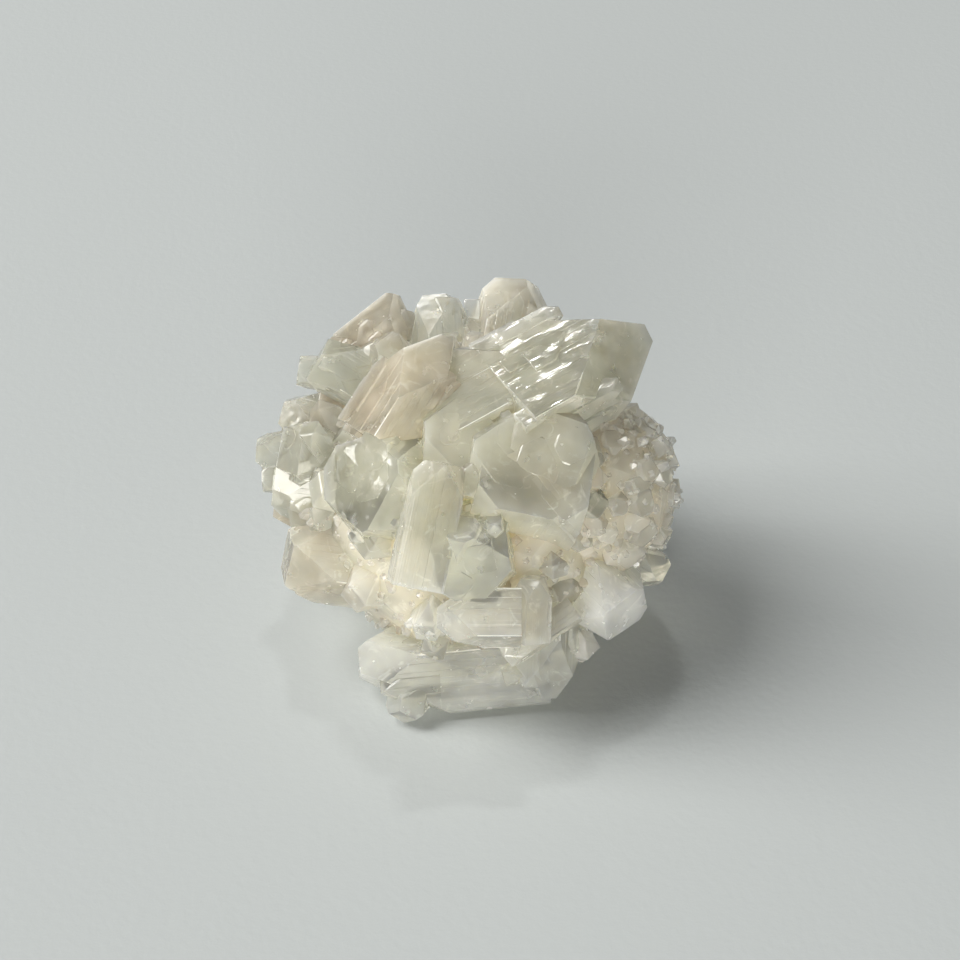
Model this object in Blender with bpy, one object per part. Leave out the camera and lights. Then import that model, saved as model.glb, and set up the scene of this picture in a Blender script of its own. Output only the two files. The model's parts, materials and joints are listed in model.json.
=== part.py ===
"""Apophyllite specimen: a ball-shaped cluster of blocky and pointed crystals, grown together into one solid.

Every crystal has the tetragonal habit of apophyllite: four prism faces round its long axis, four pyramid
faces turned 45 degrees to them, and a flat basal face that cuts the point off. The crystals spray out from
one heart, overlap there, and are joined into a single body. The underside is the flat patch where the
cluster broke off its rock, and the specimen rests on it.

The cluster is laid out on its show face, in millimetres: "across" runs to the right, "up" runs up the face,
and "out" runs from the heart towards whoever looks at it. That face looks up from the horizon by SHOW_TILT.
"""

import math
import random
from dataclasses import dataclass

import bmesh
import bpy
from mathutils import Matrix, Vector

MM = 0.001

# Driving dimensions, in millimetres and degrees.
HEART = (0.0, 0.0, 0.0)  # the point that the crystals spray from, which the show face is measured from
HEART_HEIGHT = 20.0  # the heart above the flat base
CORE_RADIUS = 23.0  # the massive middle that the crystals stand on
CORE_FACES = 60
SHOW_TILT = 40.0  # how far the show face looks up from the horizon
PYRAMID_SLOPE = 29.6  # between a pyramid face and the crystal's long axis
UNEVENNESS = 0.16  # how unevenly the faces of the nameless crystals have grown
SWAY = 0.2  # how far their long axes stray from pointing straight outwards
LOBE_CENTRE = (16.2, 1.6, 6.0)  # the swelling on the right, all in small blunt crystals
LOBE_RADIUS = 12.7  # its massive middle
LOBE_FACES = 40
ROOT_CENTRE = (0.0, -8.2, -9.8)  # the massive stump that was attached to the rock
ROOT_RADIUS = 17.5
ROOT_FACES = 36
ROUGHNESS = 0.92  # the nearest that a lump's faces come to its middle, as a share of its radius
NOTCH = (-0.69, -0.72, 0.1)  # the show-face direction of the open notch between the left arm and the foot
NOTCH_WIDTH = 0.92  # the cosine of the angle round it in which nothing stands
BACK_FRONT = 0.12  # the out part of a direction above which the large crystals of the back end
BACK_LOW = (-0.35, -0.5)  # the up part under which they end, unless the out part is under the second
BACK_BASE = -0.62  # the height part under which they end
FILLING_BASE = -0.6  # the height part under which the small crystals in the gaps end
LOBE_END = (-0.25, -0.7)  # the across part and the out part under which the swelling's crystals end
SEED = 11
STEADY = 0.02  # the thinnest feature kept, in millimetres
STOCK = 120.0  # the block that each crystal is cut from

NODE = "apophyllite_cluster"


@dataclass(frozen=True)
class Crystal:
    """One crystal: where its tip is, which way it points, and how thick it has grown.

    The tip is (across, up, out) of the basal face's middle. Bearing is the pointing direction on the show
    face, 0 to the right and 90 up it, and lean turns it towards the viewer. At roll 0 the first prism face
    looks as squarely as it can at the viewer. Half is the distance from the long axis to each prism face, cap
    that to each pyramid face at the tip, and each is one number or four.
    """

    tip: tuple
    bearing: float
    lean: float = 0.0
    roll: float = 0.0
    half: object = 4.0
    cap: object = 1.5
    length: float = 20.0


@dataclass(frozen=True)
class Growth:
    """One kind of nameless crystal, which stands all round a centre.

    Count directions are tried, evenly spread over the sphere. Reach is the least and greatest distance from
    the centre to a tip, half that from a long axis to the prism faces, and cap_share the size of a tip's cap
    as a share of that.
    """

    count: int
    centre: tuple
    reach: tuple
    half: tuple
    cap_share: float
    length: float


BACK = Growth(58, HEART, (26.2, 29.6), (3.6, 6.2), 0.62, 22.0)
LOBE = Growth(146, LOBE_CENTRE, (13.0, 14.3), (1.1, 2.2), 0.8, 6.0)
FILLING = Growth(90, HEART, (24.0, 26.5), (1.4, 2.8), 0.7, 10.0)

SHOW_CRYSTALS = {
    # the top, from the great point leftwards
    "great_point": Crystal(
        (25.4, 23.6, 6.9), 29.3, -17.0, -36.0, (8.0, 8.9, 8.0, 8.0), (1.3, 1.4, 2.0, 2.3), 25.0
    ),
    "ledge": Crystal((5.9, 17.0, 15.6), 29.0, -6.8, -26.7, (4.0, 5.0, 4.5, 7.0), (5.2, 3.4, 4.5, 5.2), 14.5),
    "back_plate": Crystal(
        (7.6, 32.4, -6.0), 80.0, -5.0, 20.0, (5.0, 6.8, 5.0, 6.4), (2.6, 2.0, 3.4, 4.2), 30.0
    ),
    "top_stub": Crystal((0.0, 29.7, -3.0), 90.0, 0.0, 0.0, 1.2, 1.5, 10.0),
    "clear_knob": Crystal((-5.2, 30.3, -2.0), 92.0, 0.0, 30.0, 3.6, 2.3, 22.0),
    "brown_dome": Crystal((-11.6, 30.2, 1.0), 78.0, 0.0, 5.0, (4.5, 3.4, 4.0, 7.4), 1.4, 26.0),
    "broad_block": Crystal((-3.3, 22.6, 15.5), 58.0, -5.0, 35.0, (5.6, 5.2, 5.2, 5.2), 1.6, 17.5),
    # the left side, downwards
    "top_left_block": Crystal((-22.3, 20.4, 6.0), 150.0, 10.0, 20.0, 3.7, 3.0, 24.0),
    "top_left_cube": Crystal((-25.3, 18.9, 3.0), 172.0, 5.0, 10.0, 2.1, 2.0, 14.0),
    "dark_shoulder": Crystal((-27.9, 12.9, 0.0), 165.0, 0.0, 40.0, 3.4, 2.3, 22.0),
    "shoulder_chip": Crystal((-22.7, 13.0, 7.0), 150.0, 20.0, 15.0, 1.9, 1.3, 12.0),
    "left_block": Crystal((-26.0, 7.2, 8.0), 170.0, 35.0, 41.0, 4.4, 3.6, 22.0),
    "left_tip": Crystal((-23.0, 10.3, 12.0), 120.0, 40.0, 10.0, 1.7, 1.3, 9.0),
    "left_knob": Crystal((-31.5, 7.3, 2.0), 176.0, 5.0, 20.0, 2.7, 1.9, 18.0),
    "left_lower_knob": Crystal((-30.6, 3.2, 1.0), 182.0, 0.0, 5.0, 2.1, 2.0, 16.0),
    "left_flank": Crystal((-26.6, -1.7, 2.0), 188.0, 0.0, 30.0, 4.2, 3.2, 24.0),
    "left_arm": Crystal((-26.4, -8.0, 9.0), 172.0, 15.0, 25.0, 4.8, 3.6, 26.0),
    "under_arm": Crystal((-14.8, -14.9, 8.0), 262.0, 0.0, 20.0, 1.9, 1.3, 12.0),
    # the middle, facing the viewer
    "leaf": Crystal((-15.4, 2.6, 22.4), 165.0, 50.0, 25.0, (7.2, 6.4, 6.4, 7.0), (6.6, 7.4, 5.6, 6.2), 20.0),
    "tongue": Crystal((-3.8, 5.2, 27.0), 78.0, 4.0, 12.0, (2.6, 3.3, 2.6, 3.8), 1.8, 17.0),
    "smooth_face": Crystal(
        (8.4, 5.4, 24.4), 60.0, 65.0, 20.0, (7.8, 8.4, 7.2, 7.0), (8.2, 9.4, 7.4, 8.8), 20.0
    ),
    "smooth_shelf": Crystal((10.6, 7.2, 24.3), 65.0, 80.0, 25.0, (6.2, 6.2, 6.0, 6.2), 5.6, 16.0),
    "saddle": Crystal((-1.2, 9.4, 22.6), 70.0, 62.0, 20.0, 5.2, 5.0, 14.0),
    "pale_face": Crystal((-0.2, -9.3, 26.5), 270.0, 60.0, 10.0, 5.6, 5.0, 18.0),
    "bright_cube": Crystal((-1.2, -3.5, 28.0), 100.0, 50.0, 20.0, 2.4, 2.1, 10.0),
    # the foot and what hangs over it
    "foot": Crystal((-16.2, -24.5, 6.4), 185.0, 6.0, -27.0, (5.4, 5.0, 5.3, 5.3), (3.2, 3.4, 2.6, 1.4), 27.0),
    "foot_knob": Crystal((-9.9, -30.9, 9.0), 250.0, 30.0, 20.0, 2.9, 2.0, 8.0),
    "lens": Crystal((-4.7, -15.9, 22.0), 180.0, 0.0, 20.0, (3.2, 3.4, 3.0, 3.4), 1.6, 11.5),
    "downward_block": Crystal((10.8, -28.2, 7.5), 268.0, -5.0, 30.0, (4.3, 4.0, 4.0, 4.0), 1.6, 26.0),
    "downward_chip": Crystal((4.3, -24.9, 9.0), 200.0, 10.0, 20.0, 1.8, 1.2, 9.0),
    "downward_back": Crystal((8.4, -10.4, 20.0), 88.0, 10.0, 30.0, 2.1, 1.3, 9.0),
    "downward_wing": Crystal((4.7, -22.0, 14.0), 215.0, 0.0, 15.0, 1.7, 1.1, 12.0),
    "downward_side": Crystal((17.0, -22.2, 8.0), 312.0, 0.0, 20.0, 2.0, 1.4, 14.0),
    # the lower right
    "window": Crystal(
        (21.6, -16.0, 13.0), 314.0, 35.0, 27.0, (4.5, 4.6, 4.3, 4.5), (4.2, 4.1, 4.3, 4.0), 26.0
    ),
    "window_side": Crystal((27.8, -10.9, 5.0), 330.0, 0.0, 25.0, 2.8, 2.0, 16.0),
    "under_point": Crystal((24.1, 9.8, 8.0), 20.0, 15.0, 30.0, 4.6, 2.8, 22.0),
    "nub": Crystal((24.4, 12.7, 4.0), 15.0, 0.0, 20.0, 1.6, 1.2, 14.0),
    "clear_bump": Crystal((17.2, -0.5, 20.5), 340.0, 62.0, 30.0, 1.9, 1.5, 8.0),
}


def four(value):
    """The value itself when it is four numbers, otherwise the one number four times."""
    return value if isinstance(value, tuple) else (value,) * 4


def show_axes():
    """The across, up and out directions of the show face, as the columns of a matrix."""
    tilt = math.radians(SHOW_TILT)
    across = Vector((1.0, 0.0, 0.0))
    up = Vector((0.0, math.sin(tilt), math.cos(tilt)))
    out = Vector((0.0, -math.cos(tilt), math.sin(tilt)))
    return Matrix((across, up, out)).transposed()


def place(point):
    """A show-face point in millimetres as a world position in metres."""
    return (show_axes() @ Vector(point) + Vector((0.0, 0.0, HEART_HEIGHT))) * MM


def pointing(bearing, lean):
    """The show-face direction with that bearing and lean."""
    turn, rise = math.radians(bearing), math.radians(lean)
    return Vector((math.cos(turn) * math.cos(rise), math.sin(turn) * math.cos(rise), math.sin(rise)))


def habit_planes(crystal):
    """The crystal's faces as (point, outward normal) pairs in the world."""
    axes = show_axes()
    along = pointing(crystal.bearing, crystal.lean)
    viewer = Vector((0.0, 0.0, 1.0)) if abs(along.z) < 0.98 else Vector((0.0, 1.0, 0.0))
    first = (viewer - viewer.dot(along) * along).normalized()
    first = Matrix.Rotation(math.radians(crystal.roll), 3, along) @ first
    second = along.cross(first)
    around = [axes @ way for way in (first, second, -first, -second)]
    along = axes @ along
    tip = place(crystal.tip)
    planes = [(tip, along), (tip - along * crystal.length * MM, -along)]
    slope = math.radians(PYRAMID_SLOPE)
    for index, (half, cap) in enumerate(zip(four(crystal.half), four(crystal.cap))):
        planes.append((tip + around[index] * half * MM, around[index]))
        corner = (around[index] + around[(index + 1) % 4]).normalized()
        planes.append((tip + corner * cap * MM, corner * math.cos(slope) + along * math.sin(slope)))
    return planes


def cut_to_planes(planes, centre):
    """A closed convex mesh: a block about a show-face point, cut back to every plane."""
    shape = bmesh.new()
    bmesh.ops.create_cube(shape, size=STOCK * MM, matrix=Matrix.Translation(place(centre)))
    for point, normal in planes:
        everything = shape.verts[:] + shape.edges[:] + shape.faces[:]
        cut = bmesh.ops.bisect_plane(
            shape, geom=everything, plane_co=point, plane_no=normal, clear_outer=True, dist=1e-8
        )
        rim = [edge for edge in cut["geom_cut"] if isinstance(edge, bmesh.types.BMEdge)]
        if rim:
            bmesh.ops.contextual_create(shape, geom=rim)
    bmesh.ops.recalc_face_normals(shape, faces=shape.faces)
    return shape


def add_object(name, shape, collection):
    """An object in that collection with the shape as its mesh."""
    mesh = bpy.data.meshes.new(name)
    shape.to_mesh(mesh)
    shape.free()
    made = bpy.data.objects.new(name, mesh)
    collection.objects.link(made)
    return made


def uneven(rng, size):
    """Four distances near that size, as unevenly grown faces have."""
    return tuple(size * (1.0 + rng.uniform(-UNEVENNESS, UNEVENNESS)) for _ in range(4))


def standing(rng, growth, way, half, reach):
    """A nameless crystal that stands on its growth's centre and points that way, give or take."""
    way = (way + Vector([rng.uniform(-SWAY, SWAY) for _ in range(3)])).normalized()
    tip = Vector(growth.centre) + way * reach
    lean = math.degrees(math.asin(max(-1.0, min(1.0, way.z))))
    bearing = math.degrees(math.atan2(way.y, way.x))
    roll = rng.uniform(0.0, 90.0)
    half_widths = uneven(rng, half)
    caps = uneven(rng, half * growth.cap_share)
    return Crystal(tuple(tip), bearing, lean, roll, half_widths, caps, growth.length)


def spread(count):
    """That many directions spread evenly over the whole sphere."""
    golden = math.pi * (3.0 - math.sqrt(5.0))
    ways = []
    for index in range(count):
        height = 1.0 - 2.0 * (index + 0.5) / count
        ring = math.sqrt(1.0 - height * height)
        ways.append(Vector((ring * math.cos(golden * index), ring * math.sin(golden * index), height)))
    return ways


def grow(rng, growth, bare):
    """The nameless crystals of one kind, in every direction that is not bare."""
    grown = []
    for way in spread(growth.count):
        if not bare(way):
            half = rng.uniform(*growth.half)
            reach = rng.uniform(*growth.reach)
            grown.append(standing(rng, growth, way, half, reach))
    return grown


def back_bare(way):
    """The show face, the base, and the show face's lower rim have none of the large crystals of the back."""
    low = way.y < BACK_LOW[0] and way.z > BACK_LOW[1]
    return way.z > BACK_FRONT or (show_axes() @ way).z < BACK_BASE or low


def lobe_bare(way):
    """The swelling has crystals except where it meets the ball."""
    return way.x < LOBE_END[0] or way.z < LOBE_END[1]


def filling_bare(way):
    """Small crystals fill the gaps everywhere but on the base and in the notch."""
    return (show_axes() @ way).z < FILLING_BASE or way.dot(Vector(NOTCH)) > NOTCH_WIDTH


def lump_planes(centre, radius, count, rng):
    """The faces of a rough lump about a show-face point."""
    planes = []
    for way in spread(count):
        normal = show_axes() @ way
        planes.append((place(centre) + normal * radius * rng.uniform(ROUGHNESS, 1.0) * MM, normal))
    return planes


def keep_largest(shape):
    """Drop every closed shell but the largest, so that no gap sealed inside the cluster is left."""
    left, shells = set(shape.verts), []
    while left:
        shell, waiting = set(), [left.pop()]
        while waiting:
            vert = waiting.pop()
            shell.add(vert)
            for edge in vert.link_edges:
                other = edge.other_vert(vert)
                if other in left:
                    left.discard(other)
                    waiting.append(other)
        shells.append(shell)
    shells.sort(key=len, reverse=True)
    spare = [vert for shell in shells[1:] for vert in shell]
    bmesh.ops.delete(shape, geom=spare, context="VERTS")


def join_crystals(lump, crystals):
    """One mesh of the lump and every crystal, cut off flat at the base."""
    joiner = lump.modifiers.new("join", "BOOLEAN")
    joiner.operation = "UNION"
    joiner.solver = "EXACT"
    joiner.operand_type = "COLLECTION"
    joiner.collection = crystals
    joined = bpy.data.meshes.new_from_object(lump.evaluated_get(bpy.context.evaluated_depsgraph_get()))
    shape = bmesh.new()
    shape.from_mesh(joined)
    everything = shape.verts[:] + shape.edges[:] + shape.faces[:]
    down = (0.0, 0.0, -1.0)
    cut = bmesh.ops.bisect_plane(
        shape, geom=everything, plane_co=(0.0, 0.0, 0.0), plane_no=down, clear_outer=True, dist=1e-7
    )
    rim = [edge for edge in cut["geom_cut"] if isinstance(edge, bmesh.types.BMEdge)]
    bmesh.ops.triangle_fill(shape, edges=rim, use_beauty=True, normal=down)
    bmesh.ops.triangulate(shape, faces=shape.faces[:])
    bmesh.ops.remove_doubles(shape, verts=shape.verts[:], dist=STEADY * MM)
    keep_largest(shape)
    bmesh.ops.recalc_face_normals(shape, faces=shape.faces)
    return shape


def crystal_material():
    """The pale milky green of the whole cluster."""
    material = bpy.data.materials.new("apophyllite")
    material.use_nodes = True
    shader = material.node_tree.nodes["Principled BSDF"]
    shader.inputs["Base Color"].default_value = (0.56, 0.57, 0.47, 1.0)
    shader.inputs["Roughness"].default_value = 0.18
    shader.inputs["IOR"].default_value = 1.535
    return material


def main():
    for old in list(bpy.data.objects):
        bpy.data.objects.remove(old)
    rng = random.Random(SEED)
    crystals = bpy.data.collections.new("crystals")
    bpy.context.scene.collection.children.link(crystals)
    lobe = lump_planes(LOBE_CENTRE, LOBE_RADIUS, LOBE_FACES, rng)
    add_object("lobe", cut_to_planes(lobe, LOBE_CENTRE), crystals)
    root = lump_planes(ROOT_CENTRE, ROOT_RADIUS, ROOT_FACES, rng)
    add_object("root", cut_to_planes(root, ROOT_CENTRE), crystals)
    grown = list(SHOW_CRYSTALS.values())
    for growth, bare in ((BACK, back_bare), (LOBE, lobe_bare), (FILLING, filling_bare)):
        grown += grow(rng, growth, bare)
    for index, crystal in enumerate(grown):
        add_object(f"crystal_{index:03d}", cut_to_planes(habit_planes(crystal), crystal.tip), crystals)
    core = lump_planes(HEART, CORE_RADIUS, CORE_FACES, rng)
    lump = add_object("core", cut_to_planes(core, HEART), bpy.context.scene.collection)
    shape = join_crystals(lump, crystals)
    for spare in list(bpy.data.objects):
        bpy.data.objects.remove(spare)
    cluster = add_object(NODE, shape, bpy.context.scene.collection)
    cluster.data.materials.append(crystal_material())


main()
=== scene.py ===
"""The looks of the apophyllite specimen: a ball-shaped cluster of glassy crystals, clouded towards its heart.

The cluster is laid out on its show face, in millimetres: "across" runs to the right, "up" runs up the face,
and "out" runs from the heart towards whoever looks at it. Meshes are made in metres, in the frame's axes.
"""

import json
import logging
import math
import random
from collections.abc import Sequence
from dataclasses import dataclass, field
from enum import Enum

import bmesh
import bpy
from mathutils import Matrix, Vector

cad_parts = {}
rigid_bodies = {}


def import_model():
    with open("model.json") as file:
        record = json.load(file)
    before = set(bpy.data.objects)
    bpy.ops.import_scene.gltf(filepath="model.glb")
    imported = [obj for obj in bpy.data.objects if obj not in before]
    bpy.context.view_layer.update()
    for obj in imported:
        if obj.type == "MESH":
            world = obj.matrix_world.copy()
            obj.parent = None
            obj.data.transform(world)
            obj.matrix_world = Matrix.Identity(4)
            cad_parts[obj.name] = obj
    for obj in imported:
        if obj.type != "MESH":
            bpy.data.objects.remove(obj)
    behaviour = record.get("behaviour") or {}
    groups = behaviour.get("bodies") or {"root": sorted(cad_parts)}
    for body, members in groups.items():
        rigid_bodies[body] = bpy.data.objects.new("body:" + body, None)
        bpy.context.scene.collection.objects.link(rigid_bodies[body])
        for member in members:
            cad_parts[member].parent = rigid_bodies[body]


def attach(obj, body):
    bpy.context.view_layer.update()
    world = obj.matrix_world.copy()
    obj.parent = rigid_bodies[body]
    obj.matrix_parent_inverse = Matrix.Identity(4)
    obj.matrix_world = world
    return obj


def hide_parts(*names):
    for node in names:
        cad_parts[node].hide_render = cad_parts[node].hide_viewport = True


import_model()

LOG = logging.getLogger("apophyllite")

MM = 0.001

# Between a pyramid face and the long axis, in degrees.
PYRAMID_SLOPE = 29.6

# A long axis this near to the line of sight, as a cosine, is seen end-on.
END_ON = 0.98

BODY = "root"
NODE = "apophyllite_cluster"

Pair = tuple[float, float]
Four = tuple[float, float, float, float]
Place = tuple[float, float, float]
Plane = tuple[Vector, Vector]


# ---------------------------------------------------------------- the crystals


@dataclass(frozen=True)
class ShowFace:
    """The face of the cluster that looks at its viewer, and the way from it to the world.

    Attributes:
        tilt: how far the face looks up from the horizon, in degrees.
        heart_height: the point that the crystals spray from, above the flat base, in millimetres.
    """

    tilt: float = 40.0
    heart_height: float = 20.0

    def axes(self) -> Matrix:
        """Find how the show face lies in the world.

        Returns:
            Its across, up and out directions, as the columns of a matrix.
        """
        tilt = math.radians(self.tilt)
        across = Vector((1.0, 0.0, 0.0))
        up = Vector((0.0, math.sin(tilt), math.cos(tilt)))
        out = Vector((0.0, -math.cos(tilt), math.sin(tilt)))
        return Matrix((across, up, out)).transposed()

    def place(self, point: Sequence[float]) -> Vector:
        """A show-face point in millimetres as a world position in metres."""
        return (self.axes() @ Vector(point) + Vector((0.0, 0.0, self.heart_height))) * MM


SHOW = ShowFace()


@dataclass(frozen=True)
class Crystal:
    """One crystal with the tetragonal habit of apophyllite.

    Attributes:
        tip: the middle of its basal face, as (across, up, out).
        bearing: its pointing direction on the show face, 0 to the right and 90 up it.
        lean: how far it turns towards the viewer.
        roll: at 0 the first prism face looks as squarely as it can at the viewer.
        half: from the long axis to each prism face, one number or four.
        cap: from the long axis to each pyramid face at the tip, one number or four.
        length: from the tip back to the root.
        clarity: 0 for milky and 1 for water-clear.
        warmth: 0 for grey-green and 1 for peach, and below 0 for white, which is partly the crystal's pale
            tone and partly painted light that brightens crystals lying in shade.
        stepped: how many smaller individuals stand on it, as a share of the usual number.
    """

    tip: Place
    bearing: float
    lean: float = 0.0
    roll: float = 0.0
    half: float | Four = 4.0
    cap: float | Four = 1.5
    length: float = 20.0
    clarity: float = 0.5
    warmth: float = 0.4
    stepped: float = 1.0

    def pointing(self) -> Vector:
        """The direction of the long axis on the show face."""
        turn, rise = math.radians(self.bearing), math.radians(self.lean)
        return Vector((math.cos(turn) * math.cos(rise), math.sin(turn) * math.cos(rise), math.sin(rise)))

    def habit(self) -> tuple[list[Vector], Vector]:
        """How it is turned on the show face.

        Returns:
            The outward directions of the four prism faces, and the long axis.
        """
        along = self.pointing()
        viewer = Vector((0.0, 0.0, 1.0)) if abs(along.z) < END_ON else Vector((0.0, 1.0, 0.0))
        first = (viewer - viewer.dot(along) * along).normalized()
        first = Matrix.Rotation(math.radians(self.roll), 3, along) @ first
        second = along.cross(first)
        return [first, second, -first, -second], along

    def sides(self) -> tuple[list[Vector], Vector]:
        """The outward directions of the four prism faces, and the long axis, in the world."""
        sides, along = self.habit()
        return [SHOW.axes() @ way for way in sides], SHOW.axes() @ along


def four(value: float | Four) -> Four:
    """The value itself when it is four numbers, otherwise the one number four times."""
    return value if isinstance(value, tuple) else (value,) * 4


CRYSTALS = {
    # The top.
    "great_point": Crystal(
        (25.4, 23.6, 6.9), 29.3, -17.0, -36.0,
        (8.0, 8.9, 8.0, 8.0), (1.3, 1.4, 2.0, 2.3), 25.0, 0.62, 0.15, 0.5,
    ),
    "ledge": Crystal(
        (5.9, 17.0, 15.6), 29.0, -6.8, -26.7,
        (4.0, 5.0, 4.5, 7.0), (5.2, 3.4, 4.5, 5.2), 14.5, 0.5, 0.35, 0.5,
    ),
    "back_plate": Crystal(
        (7.6, 32.4, -6.0), 80.0, -5.0, 20.0, (5.0, 6.8, 5.0, 6.4), (2.6, 2.0, 3.4, 4.2), 30.0, 0.35, 0.8
    ),
    "top_stub": Crystal((0.0, 29.7, -3.0), 90.0, 0.0, 0.0, 1.2, 1.5, 10.0, 0.8, 0.2),
    "clear_knob": Crystal((-5.2, 30.3, -2.0), 92.0, 0.0, 30.0, 3.6, 2.3, 22.0, 0.7, 0.1),
    "brown_dome": Crystal((-11.6, 30.2, 1.0), 78.0, 0.0, 5.0, (4.5, 3.4, 4.0, 7.4), 1.4, 26.0, 0.35, 0.85),
    "broad_block": Crystal((-3.3, 22.6, 15.5), 58.0, -5.0, 35.0, (5.6, 5.2, 5.2, 5.2), 1.6, 17.5, 0.4, 0.7),
    # The left.
    "top_left_block": Crystal((-22.3, 20.4, 6.0), 150.0, 10.0, 20.0, 3.7, 3.0, 24.0, 0.5, 0.35),
    "top_left_cube": Crystal((-25.3, 18.9, 3.0), 172.0, 5.0, 10.0, 2.1, 2.0, 14.0, 0.55, 0.3),
    "dark_shoulder": Crystal((-27.9, 12.9, 0.0), 165.0, 0.0, 40.0, 3.4, 2.3, 22.0, 0.5, 0.6),
    "shoulder_chip": Crystal((-22.7, 13.0, 7.0), 150.0, 20.0, 15.0, 1.9, 1.3, 12.0, 0.6, 0.7),
    "left_block": Crystal((-26.0, 7.2, 8.0), 170.0, 35.0, 41.0, 4.4, 3.6, 22.0, 0.5, 0.35),
    "left_tip": Crystal((-23.0, 10.3, 12.0), 120.0, 40.0, 10.0, 1.7, 1.3, 9.0, 0.5, 0.3),
    "left_knob": Crystal((-31.5, 7.3, 2.0), 176.0, 5.0, 20.0, 2.7, 1.9, 18.0, 0.55, 0.4),
    "left_lower_knob": Crystal((-30.6, 3.2, 1.0), 182.0, 0.0, 5.0, 2.1, 2.0, 16.0, 0.55, 0.5),
    "left_flank": Crystal((-26.6, -1.7, 2.0), 188.0, 0.0, 30.0, 4.2, 3.2, 24.0, 0.5, 0.5),
    "left_arm": Crystal((-26.4, -8.0, 9.0), 172.0, 15.0, 25.0, 4.8, 3.6, 26.0, 0.45, 0.7),
    "under_arm": Crystal((-14.8, -14.9, 8.0), 262.0, 0.0, 20.0, 1.9, 1.3, 12.0, 0.8, 0.2),
    # The middle of the show face.
    "leaf": Crystal(
        (-15.4, 2.6, 22.4), 165.0, 50.0, 25.0, (7.2, 6.4, 6.4, 7.0), (6.6, 7.4, 5.6, 6.2), 20.0, 0.65, 0.15
    ),
    "tongue": Crystal((-3.8, 5.2, 27.0), 78.0, 4.0, 12.0, (2.6, 3.3, 2.6, 3.8), 1.8, 17.0, 0.5, 0.35),
    "smooth_face": Crystal(
        (8.4, 5.4, 24.4), 60.0, 65.0, 20.0, (7.8, 8.4, 7.2, 7.0), (8.2, 9.4, 7.4, 8.8), 20.0, 0.45, 0.35
    ),
    "smooth_shelf": Crystal((10.6, 7.2, 24.3), 65.0, 80.0, 25.0, (6.2, 6.2, 6.0, 6.2), 5.6, 16.0, 0.45, 0.35),
    "saddle": Crystal((-1.2, 9.4, 22.6), 70.0, 62.0, 20.0, 5.2, 5.0, 14.0, 0.45, 0.35),
    "pale_face": Crystal((-0.2, -9.3, 26.5), 270.0, 60.0, 10.0, 5.6, 5.0, 18.0, 0.5, -0.2),
    "bright_cube": Crystal((-1.2, -3.5, 28.0), 100.0, 50.0, 20.0, 2.4, 2.1, 10.0, 0.5, 0.2),
    # The foot and the lower right.
    "foot": Crystal(
        (-16.2, -24.5, 6.4), 185.0, 6.0, -27.0,
        (5.4, 5.0, 5.3, 5.3), (3.2, 3.4, 2.6, 1.4), 27.0, 0.58, -0.7, 0.3,
    ),
    "foot_knob": Crystal((-9.9, -30.9, 9.0), 250.0, 30.0, 20.0, 2.9, 2.0, 8.0, 0.6, -0.4),
    "lens": Crystal((-4.7, -15.9, 22.0), 180.0, 0.0, 20.0, (3.2, 3.4, 3.0, 3.4), 1.6, 11.5, 0.72, -0.6),
    "downward_block": Crystal(
        (10.8, -28.2, 7.5), 268.0, -5.0, 30.0, (4.3, 4.0, 4.0, 4.0), 1.6, 26.0, 0.5, -0.4
    ),
    "downward_chip": Crystal((4.3, -24.9, 9.0), 200.0, 10.0, 20.0, 1.8, 1.2, 9.0, 0.5, 0.0),
    "downward_back": Crystal((8.4, -10.4, 20.0), 88.0, 10.0, 30.0, 2.1, 1.3, 9.0, 0.6, 0.4),
    "downward_wing": Crystal((4.7, -22.0, 14.0), 215.0, 0.0, 15.0, 1.7, 1.1, 12.0, 0.6, 0.5),
    "downward_side": Crystal((17.0, -22.2, 8.0), 312.0, 0.0, 20.0, 2.0, 1.4, 14.0, 0.5, 0.8),
    "window": Crystal(
        (21.6, -16.0, 13.0), 314.0, 35.0, 27.0,
        (4.5, 4.6, 4.3, 4.5), (4.2, 4.1, 4.3, 4.0), 26.0, 0.35, -1.0, 0.0,
    ),
    "window_side": Crystal((27.8, -10.9, 5.0), 330.0, 0.0, 25.0, 2.8, 2.0, 16.0, 0.85, 0.2),
    "under_point": Crystal((24.1, 9.8, 8.0), 20.0, 15.0, 30.0, 4.6, 2.8, 22.0, 0.45, 0.85),
    "nub": Crystal((24.4, 12.7, 4.0), 15.0, 0.0, 20.0, 1.6, 1.2, 14.0, 0.5, 0.9),
    "clear_bump": Crystal((17.2, -0.5, 20.5), 340.0, 62.0, 30.0, 1.9, 1.5, 8.0, 0.9, 0.2),
}


@dataclass(frozen=True)
class Growth:
    """One kind of nameless crystal, which stands all round a centre.

    Attributes:
        count: how many directions are tried, evenly spread over the sphere.
        centre: the show-face point that they stand round.
        reach: the least and greatest distance from the centre to a tip.
        half: the least and greatest distance from a long axis to its prism faces.
        cap_share: the size of a tip's cap as a share of that.
        length: from a tip back to its root.
        clarity: the least and greatest clarity.
        warmth: the least and greatest warmth.
    """

    count: int
    centre: Place
    reach: Pair
    half: Pair
    cap_share: float
    length: float
    clarity: Pair
    warmth: Pair

    def bare(self, way: Vector) -> bool:
        """Whether no crystal stands in that direction of the show face."""
        raise NotImplementedError


class Back(Growth):
    """The large crystals of the back and the sides."""

    def bare(self, way: Vector) -> bool:
        """The show face, the base, and the show face's lower rim have none of them.

        Args:
            way: the direction on the show face.

        Returns:
            Whether none stands there.
        """
        on_show = way.z > 0.12
        on_base = (SHOW.axes() @ way).z < -0.62
        on_rim = way.y < -0.35 and way.z > -0.5
        return on_show or on_base or on_rim


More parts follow.
